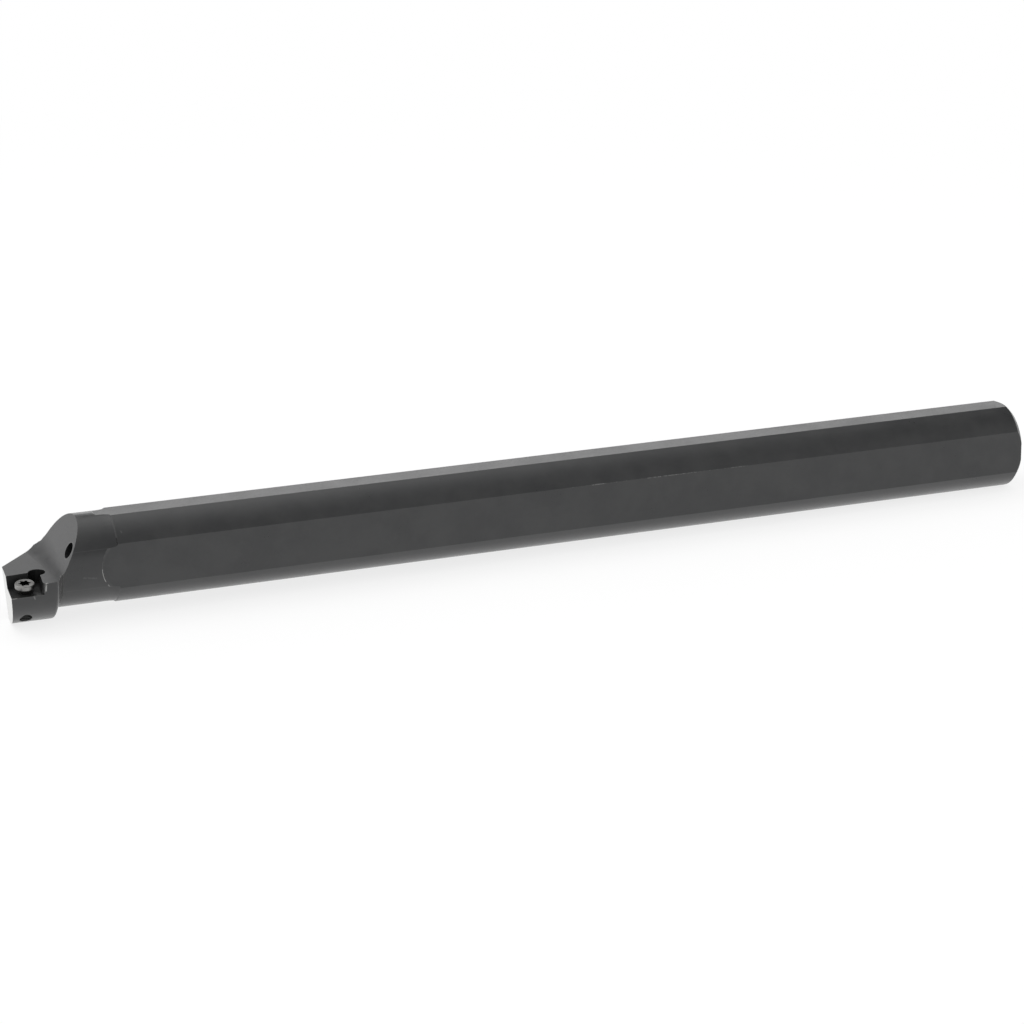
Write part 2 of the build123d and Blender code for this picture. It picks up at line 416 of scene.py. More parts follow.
# %% [markdown]
# Handling leaves its marks in places, not everywhere. This group answers how near a point is to
# a short line between two places, with a ragged border. It marks a rubbed stretch of an edge, or,
# with a small width, a scratch.

# %% Near a line group
def make_near_line():
    """Mask that is 1 close to the line from Start to End, ragged, and missing where it breaks."""
    sockets = {
        "Vector": ("NodeSocketVector", None),
        "Start": ("NodeSocketVector", None),
        "End": ("NodeSocketVector", None),
        "Width": ("NodeSocketFloat", 0.0005),
        "Breaks": ("NodeSocketFloat", 0.4),
    }
    tree, given, end = new_group("near_line", "ShaderNodeTree", sockets, {"Mask": "NodeSocketFloat"})
    along = vector_calc(tree, "SUBTRACT", given["End"], given["Start"], "Vector")
    from_start = vector_calc(tree, "SUBTRACT", given["Vector"], given["Start"], "Vector")
    length = vector_calc(tree, "DOT_PRODUCT", along, along)
    share = calc(tree, "DIVIDE", vector_calc(tree, "DOT_PRODUCT", from_start, along), length, clamp=True)
    nearest = vector_calc(tree, "SCALE", along, share, "Vector")
    away = vector_calc(tree, "DISTANCE", from_start, nearest)
    fine = calc(tree, "DIVIDE", 2.0, given["Width"])
    ragged = place(tree, "ShaderNodeTexNoise", {"Vector": given["Vector"], "Scale": fine, "Detail": 2.0})
    shift = product(tree, calc(tree, "SUBTRACT", ragged.outputs[0], 0.5), given["Width"], 2.0)
    inner = calc(tree, "MULTIPLY", given["Width"], 0.4)
    close = rise(tree, calc(tree, "ADD", away, shift), given["Width"], inner)
    coarse = calc(tree, "DIVIDE", 0.5, given["Width"])
    broken = place(tree, "ShaderNodeTexNoise", {"Vector": given["Vector"], "Scale": coarse, "Detail": 3.0})
    low = calc(tree, "SUBTRACT", given["Breaks"], 0.08)
    kept = rise(tree, broken.outputs[0], low, calc(tree, "ADD", given["Breaks"], 0.08))
    tree.links.new(calc(tree, "MULTIPLY", close, kept), end.inputs["Mask"])
    return tree


near_line = make_near_line()
print("group:", near_line.name)

# %% Cutter marks group
def make_cutter_marks():
    """Height of fine parallel lines along one coordinate, coarse over fine, from 0 to 1."""
    sockets = {
        "Coordinate": ("NodeSocketFloat", 0.0),
        "Spacing": ("NodeSocketFloat", 0.0002),
    }
    tree, given, end = new_group("cutter_marks", "ShaderNodeTree", sockets, {"Height": "NodeSocketFloat"})
    place_in_lines = calc(tree, "DIVIDE", given["Coordinate"], given["Spacing"])
    lines = place(tree, "ShaderNodeTexNoise", {"W": place_in_lines, "Detail": 4.0}, noise_dimensions="1D")
    tree.links.new(lines.outputs[0], end.inputs["Height"])
    return tree


cutter_marks = make_cutter_marks()
print("group:", cutter_marks.name)

# %% Clouding group
def make_clouding():
    """Slow unevenness of a finish, from 0 to 1."""
    sockets = {
        "Vector": ("NodeSocketVector", None),
        "Cloud Size": ("NodeSocketFloat", 0.01),
    }
    tree, given, end = new_group("clouding", "ShaderNodeTree", sockets, {"Cloud": "NodeSocketFloat"})
    scale = calc(tree, "DIVIDE", 1.0, given["Cloud Size"])
    noise = {"Vector": given["Vector"], "Scale": scale, "Detail": 5.0, "Roughness": 0.6}
    wide = place(tree, "ShaderNodeTexNoise", noise)
    tree.links.new(rise(tree, wide.outputs[0], 0.3, 0.7), end.inputs["Cloud"])
    return tree


clouding = make_clouding()
print("group:", clouding.name)

# %% Round an axis group
def make_round_axis():
    """How far a point lies from the Z axis, how far round it in turns, and how far along it."""
    sockets = {"Vector": ("NodeSocketVector", None)}
    outputs = {"Outward": "NodeSocketFloat", "Turns": "NodeSocketFloat", "Along": "NodeSocketFloat"}
    tree, given, end = new_group("round_axis", "ShaderNodeTree", sockets, outputs)
    spot = place(tree, "ShaderNodeSeparateXYZ", {0: given["Vector"]}).outputs
    squares = calc(tree, "ADD", calc(tree, "POWER", spot["X"], 2.0), calc(tree, "POWER", spot["Y"], 2.0))
    angle = calc(tree, "ARCTAN2", spot["Y"], spot["X"])
    tree.links.new(calc(tree, "SQRT", squares), end.inputs["Outward"])
    tree.links.new(calc(tree, "DIVIDE", angle, 2 * math.pi), end.inputs["Turns"])
    tree.links.new(spot["Z"], end.inputs["Along"])
    return tree


round_axis = make_round_axis()
print("group:", round_axis.name)

# %% [markdown]
# Materials read object coordinates, so a pattern stays on its piece from any view. More
# helpers start a material, place a shared group in it, move the coordinates into the frame of a
# feature, such as the screw or the seat, mix colours, and turn a height into a normal.

# %% Material helpers
def new_material(name):
    """A material with a Principled shader, its node tree and its coordinates."""
    material = bpy.data.materials.new(name)
    material.use_nodes = True
    tree = material.node_tree
    coordinates = place(tree, "ShaderNodeTexCoord").outputs
    return material, tree, tree.nodes["Principled BSDF"], coordinates


def effect(tree, group, inputs):
    """Places a shared group in a material and returns its outputs."""
    return place(tree, "ShaderNodeGroup", inputs, node_tree=group).outputs


def in_frame(tree, vector, origin, turn):
    """Coordinates measured from an origin, in a frame turned by a rotation."""
    inputs = {"Vector": vector, "Location": origin, "Rotation": turn.to_euler()}
    return place(tree, "ShaderNodeMapping", inputs, vector_type="TEXTURE").outputs[0]


def blend_colour(tree, factor, first, second):
    """Mixes two colours, each a plain value or a socket."""
    return place(tree, "ShaderNodeMix", {0: factor, 6: first, 7: second}, data_type="RGBA").outputs[2]


def relief_normal(tree, height, edge_radius):
    """Normal of a surface with softened edges and fine relief, both of them in metres."""
    rounded = place(tree, "ShaderNodeBevel", {"Radius": edge_radius}, samples=4).outputs[0]
    inputs = {"Height": height, "Strength": 1.0, "Distance": 1.0, "Normal": rounded}
    return place(tree, "ShaderNodeBump", inputs).outputs[0]


print("helpers ready: new_material, effect, in_frame, blend_colour, relief_normal")

# %% [markdown]
# ## Where things are on the bar
#
# The bar is one piece of steel with more than one finish, so the material has to know where it
# is. The bare front face looks forward and lies at the front. The seat is found from its mount:
# two walls that meet in a corner of 80 degrees, and a drilled corner relief. The screw's hole is
# all that lies close to the screw's axis.

# %% Places on the bar
front_zone_end = cad_low.x + 4 * MM

mounts = {mount["name"]: mount for mount in frame["record"]["mounts"]}
top_flat_height = mounts["top_flat"]["pos_m"][2]
side_flat_place = mounts["side_flat"]["pos_m"][1]
seat_place = Vector(mounts["insert_seat"]["pos_m"])
seat_turn = Vector((0, 0, 1)).rotation_difference(Vector(mounts["insert_seat"]["axis"]))
seat_corner = Vector((2.48, 7.28)) * MM
seat_height = 3.32 * MM
seat_wall_turn = math.radians(5.0)
wall_margin = 0.1 * MM
relief_inset = 0.85 * MM
relief_reach = 2.35 * MM

floor_margin = 0.02 * MM
relief_foot = 0.3 * MM

hole_radius = 1.65 * MM
hole_margin = 0.06 * MM
hole_pitch = 0.7 * MM
hole_thread_depth = 0.12 * MM
level_margin = 0.03 * MM


def on_level(tree, place_across, level):
    """1 where a coordinate is within a hair of a level."""
    return between(tree, place_across, level - level_margin, level + level_margin)


def ground_face(tree, spot, facing):
    """1 on the bare front face."""
    forward = calc(tree, "LESS_THAN", facing["X"], -0.95)
    return calc(tree, "MULTIPLY", forward, calc(tree, "LESS_THAN", spot["X"], front_zone_end))


def seat_pocket(tree, coordinates):
    """1 on the floor and walls of the insert's pocket, and in its corner relief."""
    local = in_frame(tree, coordinates["Object"], seat_place, seat_turn)
    local = vector_calc(tree, "SUBTRACT", local, (seat_corner.x, seat_corner.y, 0), "Vector")
    across, along = math.sin(seat_wall_turn), math.cos(seat_wall_turn)
    past_back = vector_calc(tree, "DOT_PRODUCT", local, (-across, along, 0))
    past_rear = vector_calc(tree, "DOT_PRODUCT", local, (along, -across, 0))
    in_walls = calc(tree, "LESS_THAN", calc(tree, "MAXIMUM", past_back, past_rear), wall_margin)
    height = place(tree, "ShaderNodeSeparateXYZ", {0: local}).outputs["Z"]
    top = seat_height - floor_margin
    pocket = calc(tree, "MULTIPLY", in_walls, between(tree, height, -floor_margin, top))

    from_relief = vector_calc(tree, "ADD", local, (relief_inset, relief_inset, 0), "Vector")
    outward = effect(tree, round_axis, {"Vector": from_relief})["Outward"]
    in_circle = calc(tree, "LESS_THAN", outward, relief_reach)
    relief = calc(tree, "MULTIPLY", in_circle, between(tree, height, -relief_foot, top))
    return calc(tree, "MAXIMUM", pocket, relief)


def tapped_hole(tree, coordinates):
    """1 on the wall of the screw's hole, and the height of the thread cut into it, in metres."""
    upright = in_frame(tree, coordinates["Object"], screw_foot, screw_turn)
    about = effect(tree, round_axis, {"Vector": upright})
    mask = calc(tree, "LESS_THAN", about["Outward"], hole_radius + hole_margin)
    climb = calc(tree, "SUBTRACT", calc(tree, "DIVIDE", about["Along"], hole_pitch), about["Turns"])
    wave = calc(tree, "SINE", calc(tree, "MULTIPLY", climb, 2 * math.pi))
    return mask, product(tree, wave, mask, hole_thread_depth)


print("seat corner, mm from its mount:", tuple(seat_corner / MM))

# %% [markdown]
# Light and shade are painted into the finish in a few places. A paler grey is painted as a
# highlight on the sloping shoulder behind the head, round the mouth of the coolant outlet, and at the
# round front end of the side flat. The small step at the end of the neck is painted darker, as shade.
#
# All numbers are millimetres. shoulder, neck_step and mill_centre are distances behind the front
# face, the band of painted shade on the neck step is given by two heights, outlet_rim is a radius, and
# the outlet's two places are given as a distance behind the front face, across and up.

# %% Painted highlights and painted shade
shoulder = (12.4, 14.65)
undercut_floor = 11.95
neck_step = (29.6, 30.02)
# two heights of the band of painted shade on the neck step
step_shade_band = (4.6, 7.6)
mill_centre = 33.2
mill_radius = 8.0
run_out_width = 1.0
outlet_mouth = (17.3, -7.85, 5.05)
outlet_end = (41.0, 0.0, 0.0)
outlet_rim = (2.12, 2.34)


def behind_front(distance):
    """X of a place measured back from the front face, in millimetres."""
    return cad_low.x + distance * MM


def on_bar(spot):
    """A place on the bar in metres, from its distance behind the front face, across and up."""
    return Vector((behind_front(spot[0]), spot[1] * MM, spot[2] * MM))


def shoulder_mask(tree, spot, facing):
    """1 on the sloping shoulder behind the head and on the undercut at its foot, where a highlight is
    painted.
    """
    there = between(tree, spot["X"], *(behind_front(end) for end in shoulder))
    across = calc(tree, "ADD", *(calc(tree, "POWER", spot[letter], 2.0) for letter in "YZ"))
    outside = calc(tree, "GREATER_THAN", across, (undercut_floor * MM) ** 2)
    sloping = calc(tree, "GREATER_THAN", calc(tree, "ABSOLUTE", facing["X"]), 0.3)
    return product(tree, there, outside, sloping)


def step_mask(tree, spot, facing):
    """1 on the small step from the neck up to the shank, above the side flat, where shade is painted."""
    there = between(tree, spot["X"], *(behind_front(end) for end in neck_step))
    high = between(tree, spot["Z"], *(height * MM for height in step_shade_band))
    return product(tree, there, high, calc(tree, "LESS_THAN", facing["X"], -0.3))


def run_out_mask(tree, spot):
    """Rises to 1 towards the round front end of the side flat, where a highlight is painted."""
    from_centre = calc(tree, "SUBTRACT", spot["X"], behind_front(mill_centre))
    squares = calc(tree, "ADD", calc(tree, "POWER", from_centre, 2.0), calc(tree, "POWER", spot["Z"], 2.0))
    rim = rise(tree, calc(tree, "SQRT", squares), (mill_radius - run_out_width) * MM, mill_radius * MM)
    ahead = calc(tree, "LESS_THAN", from_centre, 0.0)
    return product(tree, rim, ahead, on_level(tree, spot["Y"], side_flat_place))


def outlet_rim_mask(tree, coordinates):
    """1 on a narrow ring round the coolant outlet's axis, which marks the rim of its mouth, where a
    highlight is painted.

    The ring has no end along the axis, so it also shows as a faint loop low on the back of the
    shank, where the axis leaves the bar. The real bar has no such loop.
    """
    inward = (on_bar(outlet_end) - on_bar(outlet_mouth)).normalized()
    turn = Vector((0, 0, 1)).rotation_difference(inward)
    along_outlet = in_frame(tree, coordinates["Object"], on_bar(outlet_mouth), turn)
    about = effect(tree, round_axis, {"Vector": along_outlet})
    return between(tree, about["Outward"], *(radius * MM for radius in outlet_rim))


print("outlet mouth:", tuple(on_bar(outlet_mouth)))

# %% [markdown]
# ## Marks of use
#
# This bar has been handled but hardly used. Its black finish is whole, apart from a few small
# rubs: on the seat's corners, at the front ends of two flats and along a stretch of the side
# flat's upper edge, where a clamp or another tool has touched it. Each mark is a short line given
# as its distance behind the front face, across and up, in millimetres.
#
# A rub only shows where its line runs along an edge. A scratch shows anywhere.

# %% Rubbed edges and scratches
side_flat_edge = (-11.1, 6.17)
rub_width = 0.7
rub_breaks = 0.35
trace_of_wear = 0.1

rubbed_edges = [
    # behind the front, across and up, at each end of the line; how bright the steel shows
    ((9.5, -15.3, -0.8), (9.3, -15.1, -3.2), 1.0),
    ((0.1, -14.8, -4.1), (0.9, -14.8, -4.1), 0.6),
    ((26.15, 1.2, 12.25), (26.35, -2.0, 12.15), 0.8),
    ((25.2, -12.3, -0.3), (25.85, -11.9, -3.3), 1.0),
    ((26.9, -11.3, -4.9), (27.2, -11.1, -5.4), 0.8),
]

scratches = [
    # the same, then the width of the scratch and how broken it is
    ((9.3, -15.35, -1.0), (9.2, -15.1, -3.0), 0.7, 0.28, 0.4),
    ((6.0, -14.7, -4.2), (6.3, -14.5, -5.1), 0.3, 0.22, 0.3),
    ((20.0, -12.19, -1.7), (23.3, -12.1, -2.2), 0.06, 0.35, 0.45),
    ((29.8, -7.4, 9.8), (30.3, -8.4, 9.0), 0.2, 0.2, 0.4),
    ((31.3, -9.0, 8.95), (31.5, -9.2, 8.7), 0.1, 0.3, 0.4),
    ((166.0, *side_flat_edge), (169.6, *side_flat_edge), 0.3, 0.16, 0.4),
    ((183.0, *side_flat_edge), (198.0, *side_flat_edge), 0.25, 0.16, 0.5),
    ((208.0, *side_flat_edge), (213.0, *side_flat_edge), 0.2, 0.16, 0.5),
    ((160.0, *side_flat_edge), (214.0, *side_flat_edge), 0.15, 0.14, 0.6),
]


def line_mask(tree, coordinates, start, end, strength, width, breaks):
    """One mark's mask, as strong as the mark."""
    inputs = {"Vector": coordinates["Object"], "Start": on_bar(start), "End": on_bar(end)}
    mask = effect(tree, near_line, inputs | {"Width": width * MM, "Breaks": breaks})["Mask"]
    return calc(tree, "MULTIPLY", mask, strength)


def marks_of_use(tree, coordinates):
    """Mask of all rubs and scratches, with a trace of wear on every other outer corner."""
    wear = {"Vector": coordinates["Object"], "Width": 0.25 * MM, "Patch Size": 0.9 * MM, "Cover": 0.4}
    corners = effect(tree, edge_wear, wear)
    marks = calc(tree, "MULTIPLY", corners["Mask"], trace_of_wear)
    for start, end, strength in rubbed_edges:
        rub = line_mask(tree, coordinates, start, end, strength, rub_width, rub_breaks)
        marks = calc(tree, "MAXIMUM", marks, calc(tree, "MULTIPLY", rub, corners["Corner"]))
    for scratch in scratches:
        marks = calc(tree, "MAXIMUM", marks, line_mask(tree, coordinates, *scratch))
    return marks


print("marks: %d rubbed edges, %d scratches" % (len(rubbed_edges), len(scratches)))

# %% [markdown]
# ## Cutter marks
#
# Round surfaces are turned, so their marks run round the bar: they depend only on the place along
# it. The three flats are cut by an end mill that travels along the bar, and each tooth leaves an
# arc as wide as the mill. The front face is ground up and down.

# %% Marks on each surface
turned_spacing = 0.18 * MM
milled_spacing = 0.3 * MM
ground_spacing = 0.05 * MM
mark_height = 0.004 * MM


def mill_arcs(tree, spot, across):
    """Coordinate that is the same along each arc left by the end mill."""
    sagitta = calc(tree, "SUBTRACT", (mill_radius * MM) ** 2, calc(tree, "POWER", across, 2.0))
    return calc(tree, "SUBTRACT", spot["X"], calc(tree, "SQRT", calc(tree, "MAXIMUM", sagitta, 0.0)))


def surface_marks(tree, spot, ground):
    """Height of the cutter marks in metres, chosen by the surface that a point is on."""
    top = on_level(tree, calc(tree, "ABSOLUTE", spot["Z"]), top_flat_height)
    side = on_level(tree, spot["Y"], side_flat_place)
    across = blend(tree, side, spot["Y"], spot["Z"])
    flat = calc(tree, "MAXIMUM", top, side)
    turned = effect(tree, cutter_marks, {"Coordinate": spot["X"], "Spacing": turned_spacing})
    arcs = mill_arcs(tree, spot, across)
    milled = effect(tree, cutter_marks, {"Coordinate": arcs, "Spacing": milled_spacing})
    strokes = effect(tree, cutter_marks, {"Coordinate": spot["Y"], "Spacing": ground_spacing})
    height = blend(tree, flat, turned["Height"], milled["Height"])
    height = blend(tree, ground, height, strokes["Height"])
    return calc(tree, "MULTIPLY", height, mark_height)


print("mill arcs: radius %.0f mm" % mill_radius)

# %% [markdown]
# ## Blackened steel
#
# The bar is turned, milled and then blackened in a hot salt bath. The black layer is a glassy
# oxide a thousandth of a millimetre thick. It is nearly black face on, and mirrors like glass at
# a low angle, so it is made as a dark, non-metal surface. A grey metal would be too bright on
# the side that faces the eye.
#
# The pocket, the screw's hole and the small step at the end of the neck are painted near black, as
# shade, and lose their mirror. A metal mirrors only as strongly as its colour, so the shade is painted
# there as a metal that is nearly black.
# The front face has been ground after blackening and is bare.
#
# No real edge is a perfect line. A Bevel node turns the normals over the last tenth of a
# millimetre, so that every edge catches a little light, with no change to the mesh.

# %% Oxide, painted shade and bare steel
oxide_dark = (0.012, 0.0125, 0.0135, 1)
oxide_pale = (0.021, 0.0215, 0.022, 1)
# painted highlight: a paler grey on the shoulder, round the outlet's mouth and at the side flat's front end
painted_highlight_grey = (0.075, 0.075, 0.075, 1)
# painted shade: a near-black metal for the pocket, the screw's hole, the neck step and the screw's recess
painted_shade_black = (0.025, 0.025, 0.025, 1)
rubbed_steel = (0.42, 0.42, 0.41, 1)
ground_steel = (0.78, 0.78, 0.77, 1)
oxide_refraction = 1.6
oxide_roughness = 0.27
uneven_roughness = 0.05
painted_shade_roughness = 0.5
# how strongly the shade is painted in the pocket, the hole and on the neck step
painted_shade_cover = 0.75
# how strongly the highlight is painted at the side flat's front end
run_out_highlight = 0.3
cloud_size = 9 * MM
mottle_size = 0.8 * MM
edge_round = 0.12 * MM
# a patch of the seat's floor left without painted shade, given as a scratch is
lit_corner = ((6.4, -12.5, -3.93), (7.6, -14.3, -4.0), 0.8, 1.7, 0.3)


def painted_shade_places(tree, coordinates, spot, facing, ground, in_hole):
    """Pocket, screw hole and neck step, where shade is painted. None is painted on a patch near the pocket's
    open rear corner.
    """
    pocket = seat_pocket(tree, coordinates)
    # a patch near the pocket's open rear corner is left without painted shade
    unshaded_patch = line_mask(tree, coordinates, *lit_corner)
    pocket = product(tree, pocket, calc(tree, "SUBTRACT", 1.0, ground), calc(tree, "SUBTRACT", 1.0, unshaded_patch))
    shaded_recesses = calc(tree, "MAXIMUM", pocket, in_hole)
    return calc(tree, "MULTIPLY", calc(tree, "MAXIMUM", shaded_recesses, step_mask(tree, spot, facing)), painted_shade_cover)


print("soot cover in the pocket: %.2f" % painted_shade_cover)

# %% Blackened steel on the bar
def make_blackened_steel():
    """Oxide over turned and milled steel, rubbed in places, with painted highlights in a few places, painted
    shade in the pocket, and bare in front.
    """
    material, tree, shader, coordinates = new_material("blackened_steel")
    spot = place(tree, "ShaderNodeSeparateXYZ", {0: coordinates["Object"]}).outputs
    facing = place(tree, "ShaderNodeSeparateXYZ", {0: coordinates["Normal"]}).outputs

    ground = ground_face(tree, spot, facing)
    in_hole, thread_height = tapped_hole(tree, coordinates)
    # the places where shade is painted: pocket, screw hole and neck step
    painted_shade = painted_shade_places(tree, coordinates, spot, facing, ground, in_hole)
    marks = marks_of_use(tree, coordinates)
    # a paler grey painted as highlights at the side flat's front end, on the shoulder and round the outlet
    painted_highlight = calc(tree, "MULTIPLY", run_out_mask(tree, spot), run_out_highlight)
    painted_highlight = calc(tree, "MAXIMUM", painted_highlight, shoulder_mask(tree, spot, facing))
    painted_highlight = calc(tree, "MAXIMUM", painted_highlight, outlet_rim_mask(tree, coordinates))
    cloud = effect(tree, clouding, {"Vector": coordinates["Object"], "Cloud Size": cloud_size})["Cloud"]
    mottle = effect(tree, clouding, {"Vector": coordinates["Object"], "Cloud Size": mottle_size})["Cloud"]

    colour = blend_colour(tree, cloud, oxide_dark, oxide_pale)
    colour = blend_colour(tree, painted_highlight, colour, painted_highlight_grey)
    # painted shade in the pocket, the screw's hole and on the neck step
    colour = blend_colour(tree, painted_shade, colour, painted_shade_black)
    colour = blend_colour(tree, marks, colour, rubbed_steel)
    colour = blend_colour(tree, ground, colour, ground_steel)
    tree.links.new(colour, shader.inputs["Base Color"])
    bare = calc(tree, "MAXIMUM", calc(tree, "MAXIMUM", ground, marks), painted_shade)
    tree.links.new(bare, shader.inputs["Metallic"])

    roughness = calc(tree, "MULTIPLY_ADD", cloud, uneven_roughness, oxide_roughness)
    roughness = calc(tree, "MULTIPLY_ADD", mottle, uneven_roughness, roughness)
    tree.links.new(blend(tree, painted_shade, roughness, painted_shade_roughness), shader.inputs["Roughness"])
    shader.inputs["IOR"].default_value = oxide_refraction

    height = calc(tree, "ADD", surface_marks(tree, spot, ground), thread_height)
    tree.links.new(relief_normal(tree, height, edge_round), shader.inputs["Normal"])
    return material


blackened_steel = make_blackened_steel()
bar_body.data.materials.clear()
bar_body.data.materials.append(blackened_steel)
print("finish on the bar:", bar_body.data.materials[0].name)

# %% [markdown]
# ## Bright steel
#
# The screw is hardened steel with no coating, gone a little dull. It is turned, so its marks run
# round its own axis, and its six-lobe recess is painted near black, as shade. Both patterns are made in
# a frame whose origin is the foot of the screw and whose Z axis is the screw's own.

# %% Bright steel
screw_steel = (0.235, 0.232, 0.226, 1)
screw_steel_pale = (0.315, 0.311, 0.303, 1)
recess_radius = 1.75 * MM
recess_depth = 1.4 * MM
rim_margin = 0.03 * MM
screw_roughness = 0.32
screw_uneven = 0.08
screw_cloud_size = 1.2 * MM
screw_lines = 0.06 * MM
screw_line_height = 0.002 * MM
screw_edge_round = 0.06 * MM


def make_bright_steel():
    """Plain turned steel, duller where the finish clouds, with painted shade in the recess."""
    material, tree, shader, coordinates = new_material("bright_steel")
    upright = in_frame(tree, coordinates["Object"], screw_foot, screw_turn)
    about = effect(tree, round_axis, {"Vector": upright})
    length = (screw_top - screw_foot).length
    in_recess = between(tree, about["Along"], length - recess_depth, length - rim_margin)
    in_recess = product(tree, in_recess, calc(tree, "LESS_THAN", about["Outward"], recess_radius))
    cloud = effect(tree, clouding, {"Vector": upright, "Cloud Size": screw_cloud_size})["Cloud"]
    steel = blend_colour(tree, cloud, screw_steel, screw_steel_pale)
    # painted shade: the recess is painted near black
    tree.links.new(blend_colour(tree, in_recess, steel, painted_shade_black), shader.inputs["Base Color"])
    shader.inputs["Metallic"].default_value = 1.0
    roughness = calc(tree, "MULTIPLY_ADD", cloud, screw_uneven, screw_roughness)
    tree.links.new(roughness, shader.inputs["Roughness"])

    along = calc(tree, "ADD", about["Outward"], about["Along"])
    lines = effect(tree, cutter_marks, {"Coordinate": along, "Spacing": screw_lines})["Height"]
    height = calc(tree, "MULTIPLY", lines, screw_line_height)
    tree.links.new(relief_normal(tree, height, screw_edge_round), shader.inputs["Normal"])
    return material


bright_steel = make_bright_steel()
insert_screw.data.materials.clear()
insert_screw.data.materials.append(bright_steel)
print("finish on the screw:", insert_screw.data.materials[0].name)

# %% [markdown]
# ## Threads
#
# A thread is a ridge that climbs one pitch for each turn. It could be a profile swept along a
# spiral curve, but a swept profile twists and its ends stay open. Here a flat grid is bent into
# place instead: one direction of the grid runs along the helix, and five columns run round the
# ridge's section, the last on top of the first. The height fades to nothing over the first and
# last part of a turn, as a real thread runs out, and that also closes both ends.
#
# The same tree makes both threads. When the crest is further in than the root, the ridge points
# inwards, as in the coolant port.

# %% Choose by column
def choose(tree, index, values):
    """Index Switch node: picks one value for each column of the grid."""
    switch = place(tree, "GeometryNodeIndexSwitch", data_type="FLOAT")
    while len(switch.index_switch_items) < len(values):
        switch.index_switch_items.new()
    tree.links.new(index, switch.inputs["Index"])
    for number, value in enumerate(values):
        socket = switch.inputs[number + 1]
        if isinstance(value, bpy.types.NodeSocket):
            tree.links.new(value, socket)
        else:
            socket.default_value = value
    return switch.outputs[0]


print("helper ready: choose")

# %% Thread tree
merge_reach = 0.0005 * MM
ridge_columns = 5


def make_thread_tree():
    """Geometry Nodes tree for one helical ridge about its own Z axis, then moved into place."""
    sockets = {
        "Root Radius": ("NodeSocketFloat", 0.0016),
        "Crest Radius": ("NodeSocketFloat", 0.002),
        "Pitch": ("NodeSocketFloat", 0.0007),
        "Length": ("NodeSocketFloat", 0.005),
        "Root Width": ("NodeSocketFloat", 0.0006),
        "Crest Width": ("NodeSocketFloat", 0.0001),
        "Sink": ("NodeSocketFloat", 0.00002),
        "Steps per Turn": ("NodeSocketInt", 48),
        "Run-out Turns": ("NodeSocketFloat", 0.5),
        "Place": ("NodeSocketVector", None),
        "Turn": ("NodeSocketRotation", None),
        "Material": ("NodeSocketMaterial", None),
    }
    outputs = {"Geometry": "NodeSocketGeometry"}
    tree, given, end = new_group("thread_ridge", "GeometryNodeTree", sockets, outputs)

    turns = calc(tree, "DIVIDE", given["Length"], given["Pitch"])
    rows = calc(tree, "CEIL", calc(tree, "MULTIPLY", turns, given["Steps per Turn"]))
    counts = {"Vertices X": calc(tree, "ADD", rows, 1.0), "Vertices Y": ridge_columns}
    grid = place(tree, "GeometryNodeMeshGrid", {"Size X": 1.0, "Size Y": 1.0} | counts)
    position = place(tree, "GeometryNodeInputPosition").outputs[0]
    spot = place(tree, "ShaderNodeSeparateXYZ", {0: position}).outputs
    along = calc(tree, "ADD", spot["X"], 0.5)
    across = calc(tree, "ADD", spot["Y"], 0.5)
    column = calc(tree, "ROUND", calc(tree, "MULTIPLY", across, ridge_columns - 1.0))

    half_root = calc(tree, "DIVIDE", given["Root Width"], 2.0)
    half_crest = calc(tree, "DIVIDE", given["Crest Width"], 2.0)
    minus_root = calc(tree, "MULTIPLY", half_root, -1.0)
    minus_crest = calc(tree, "MULTIPLY", half_crest, -1.0)
    height = choose(tree, column, [0.0, 1.0, 1.0, 0.0, 0.0])
    sideways = choose(tree, column, [minus_root, minus_crest, half_crest, half_root, minus_root])

    to_end = calc(tree, "MINIMUM", along, calc(tree, "SUBTRACT", 1.0, along))
    fade = calc(tree, "DIVIDE", calc(tree, "MULTIPLY", to_end, turns), given["Run-out Turns"], clamp=True)
    ridge = calc(tree, "SUBTRACT", given["Crest Radius"], given["Root Radius"])
    sink = calc(tree, "MULTIPLY", given["Sink"], calc(tree, "SIGN", ridge))
    sunk = calc(tree, "MULTIPLY", calc(tree, "SUBTRACT", 1.0, height), sink)
    lift = calc(tree, "SUBTRACT", calc(tree, "MULTIPLY", ridge, height), sunk)
    radius = calc(tree, "ADD", given["Root Radius"], calc(tree, "MULTIPLY", lift, fade))

    angle = calc(tree, "MULTIPLY", calc(tree, "MULTIPLY", along, turns), 2 * math.pi)
    climb = calc(tree, "MULTIPLY", along, given["Length"])
    round_helix = {
        "X": calc(tree, "MULTIPLY", radius, calc(tree, "COSINE", angle)),
        "Y": calc(tree, "MULTIPLY", radius, calc(tree, "SINE", angle)),
        "Z": calc(tree, "ADD", climb, calc(tree, "MULTIPLY", sideways, fade)),
    }
    helix = place(tree, "ShaderNodeCombineXYZ", round_helix)
    bending = {"Geometry": grid.outputs["Mesh"], "Position": helix.outputs[0]}
    bent = place(tree, "GeometryNodeSetPosition", bending)
    closing = {"Geometry": bent.outputs[0], "Distance": merge_reach}
    closed = place(tree, "GeometryNodeMergeByDistance", closing)
    moved = place(
        tree,
        "GeometryNodeTransform",
        {"Geometry": closed.outputs[0], "Translation": given["Place"], "Rotation": given["Turn"]},
    )
    real = place(tree, "GeometryNodeRealizeInstances", {"Geometry": moved.outputs[0]})
    painted = place(
        tree, "GeometryNodeSetMaterial", {"Geometry": real.outputs[0], "Material": given["Material"]}
    )
    tree.links.new(painted.outputs[0], end.inputs["Geometry"])
    return tree


thread_tree = make_thread_tree()
print("thread tree: %d nodes" % len(thread_tree.nodes))

# %% [markdown]
# A modifier's inputs are set by each socket's identifier, before the object is first evaluated.
# The evaluated result then becomes a plain mesh, and the modifier goes. Its normals are
# recalculated, because a ridge that points inwards comes out inside out.

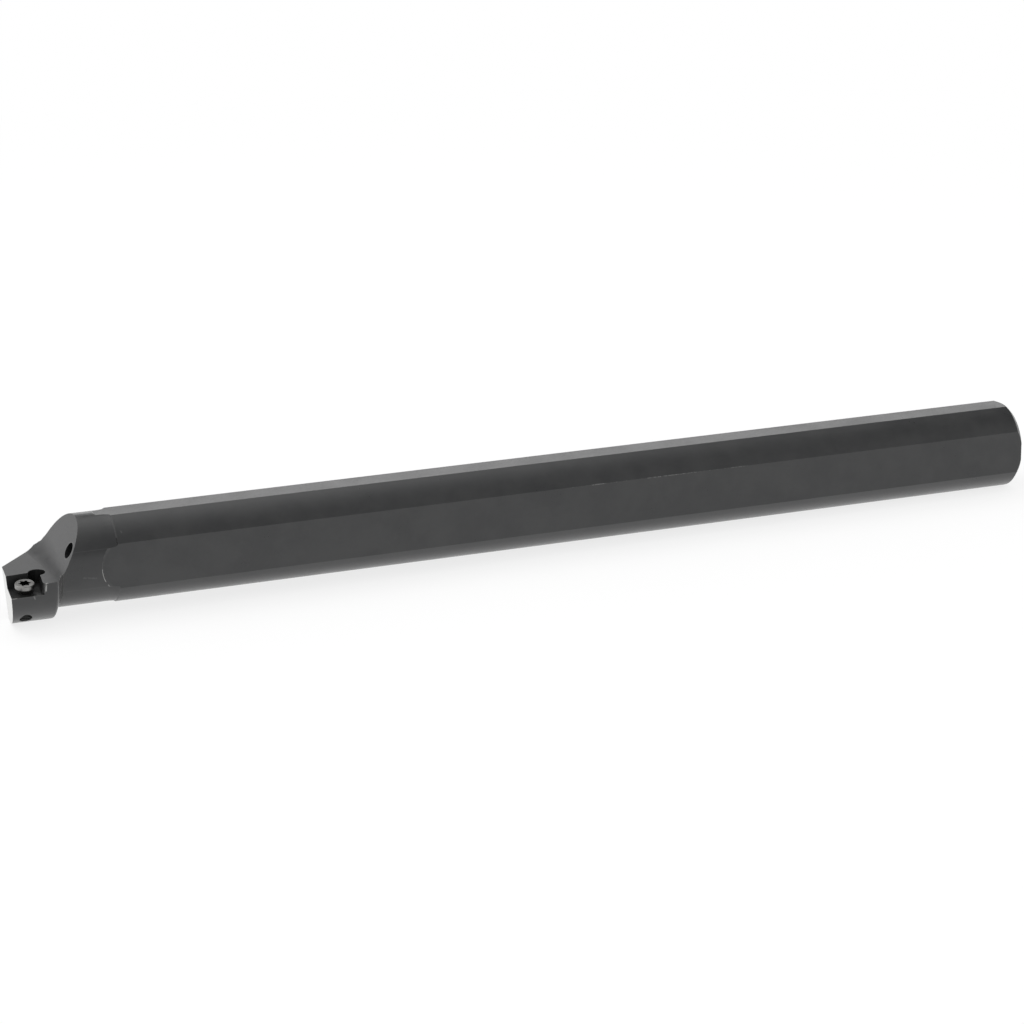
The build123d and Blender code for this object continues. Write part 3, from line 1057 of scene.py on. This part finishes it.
# %% Turn a tree into a plain mesh
def mesh_from_tree(name, tree, values, sharp_angle):
    """Runs a Geometry Nodes tree once and keeps its result as an ordinary mesh."""
    piece = bpy.data.objects.new(name, bpy.data.meshes.new(name + "_start"))
    scene.collection.objects.link(piece)
    modifier = piece.modifiers.new("shape", "NODES")
    modifier.node_group = tree
    for item in tree.interface.items_tree:
        if item.item_type == "SOCKET" and item.in_out == "INPUT" and item.name in values:
            modifier[item.identifier] = values[item.name]
    evaluated = piece.evaluated_get(bpy.context.evaluated_depsgraph_get())
    mesh = bpy.data.meshes.new_from_object(evaluated)
    piece.modifiers.remove(modifier)
    mesh.name = name
    piece.data = mesh

    shape = bmesh.new()
    shape.from_mesh(mesh)
    bmesh.ops.recalc_face_normals(shape, faces=shape.faces)
    shape.to_mesh(mesh)
    shape.free()
    mesh.polygons.foreach_set("use_smooth", [True] * len(mesh.polygons))
    mesh.set_sharp_from_angle(angle=sharp_angle)
    return piece


thread_corner = math.radians(35)
print("helper ready: mesh_from_tree")

# %% Screw thread
screw_pitch = 0.7 * MM
screw_root = 1.6 * MM
screw_crest = 1.97 * MM
screw_point = 0.8 * MM
screw_thread_length = 5.35 * MM

screw_thread = mesh_from_tree(
    "screw_thread",
    thread_tree,
    {
        "Root Radius": screw_root,
        "Crest Radius": screw_crest,
        "Pitch": screw_pitch,
        "Length": screw_thread_length,
        "Root Width": 0.62 * MM,
        "Crest Width": 0.1 * MM,
        "Place": screw_foot + screw_axis * screw_point,
        "Turn": screw_turn.to_euler(),
        "Material": bright_steel,
    },
    sharp_angle=thread_corner,
)
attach(screw_thread, "screw")
print("screw thread: %d faces" % len(screw_thread.data.polygons))

# %% Coolant port thread
port_pitch = 1.337 * MM
port_root = 6.58 * MM
port_crest = 5.7225 * MM
port_thread_start = -12.6 * MM
port_thread_length = 11.6 * MM

port_thread = mesh_from_tree(
    "port_thread",
    thread_tree,
    {
        "Root Radius": port_root,
        "Crest Radius": port_crest,
        "Pitch": port_pitch,
        "Length": port_thread_length,
        "Root Width": 1.2 * MM,
        "Crest Width": 0.22 * MM,
        "Steps per Turn": 72,
        "Place": Vector((port_thread_start, 0, 0)),
        "Turn": Vector((0, 0, 1)).rotation_difference(Vector((1, 0, 0))).to_euler(),
        "Material": blackened_steel,
    },
    sharp_angle=thread_corner,
)
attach(port_thread, "bar")
print("port thread: %d faces" % len(port_thread.data.polygons))

# %% [markdown]
# ## Finish
#
# The view transform is Standard, so that a colour renders as it is written.

# %% View settings
scene.view_settings.view_transform = "Standard"
